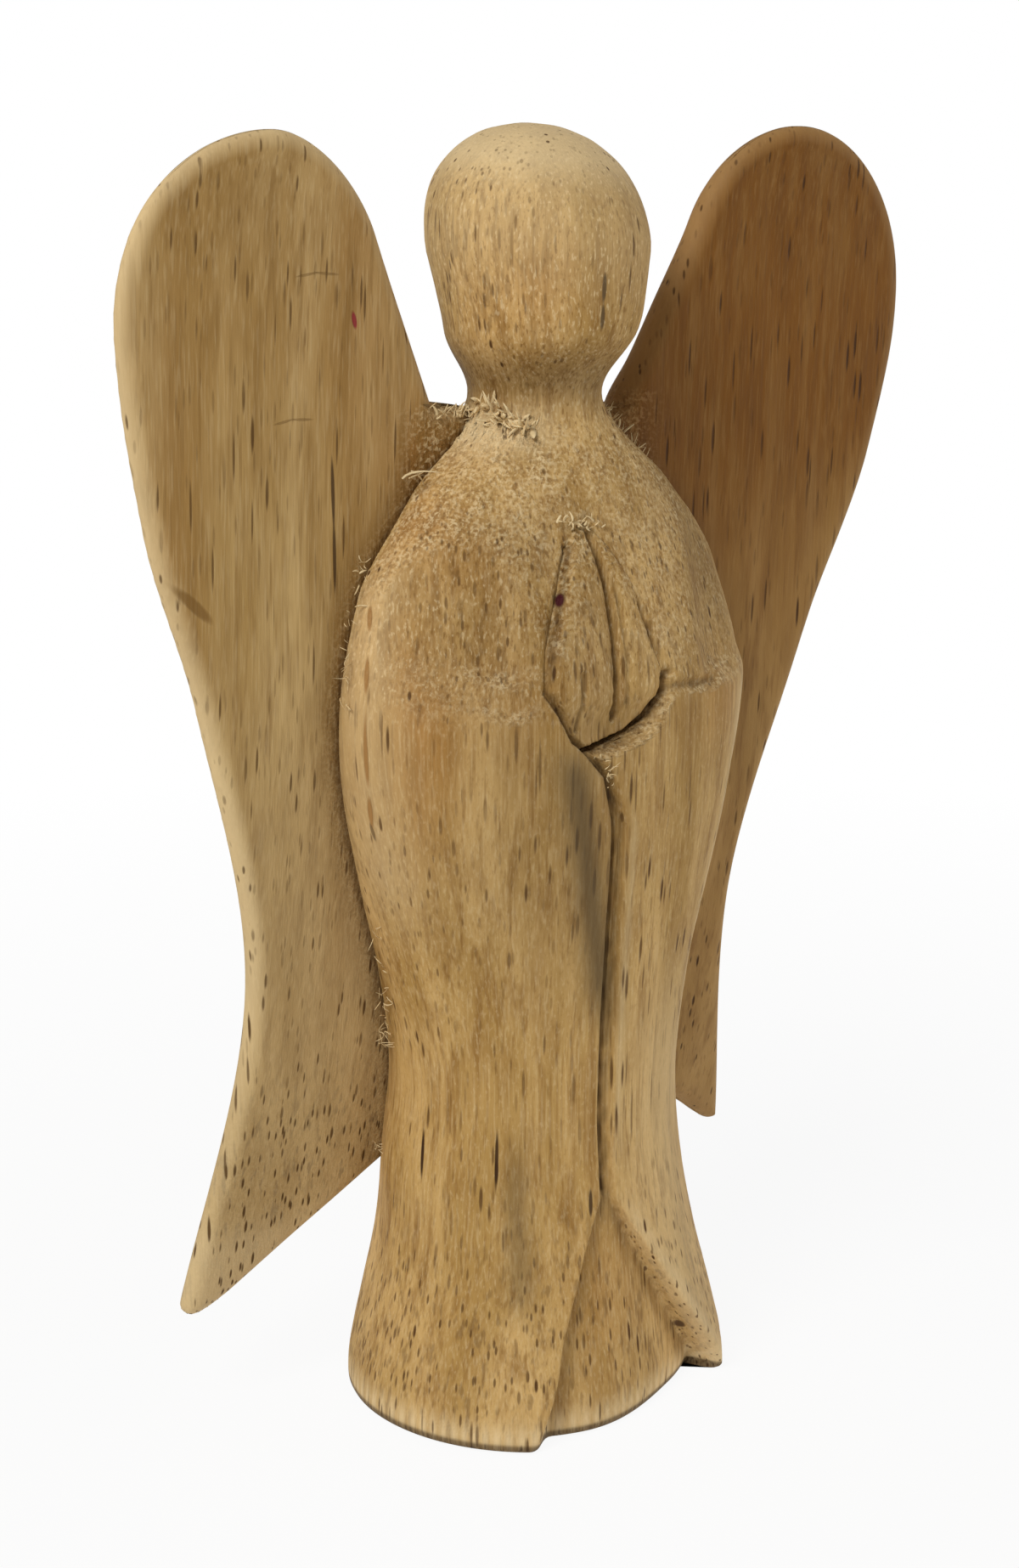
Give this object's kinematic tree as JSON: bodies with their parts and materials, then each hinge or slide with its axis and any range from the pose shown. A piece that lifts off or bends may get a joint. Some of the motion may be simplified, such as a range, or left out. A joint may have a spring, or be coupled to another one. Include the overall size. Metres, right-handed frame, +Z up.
{
  "type": "wooden angel figurine",
  "caption": "Carved light-wood angel figure with a plain egg head, praying hands and a long robe, and tall wing boards let into its sides; stands on its flat foot as an ornament.",
  "frame": {"origin": "centre of the flat foot, on the surface it stands on", "axes": "+Z up; the figure faces -Y; +X is the figure's left"},
  "size_m": [0.1096, 0.0427, 0.1505],
  "materials": {
    "body_wood": "carved, lightly sanded",
    "wing_wood": "planed, lightly sanded",
    "bamboo": "split and scraped"
  },
  "bodies": {
    "root": {"carved_body": "body_wood", "right_wing": "wing_wood", "left_wing": "wing_wood", "right_wing_lower_pin": "bamboo", "right_wing_upper_pin": "bamboo", "left_wing_lower_pin": "bamboo", "left_wing_upper_pin": "bamboo"}
  },
  "joints": []
}
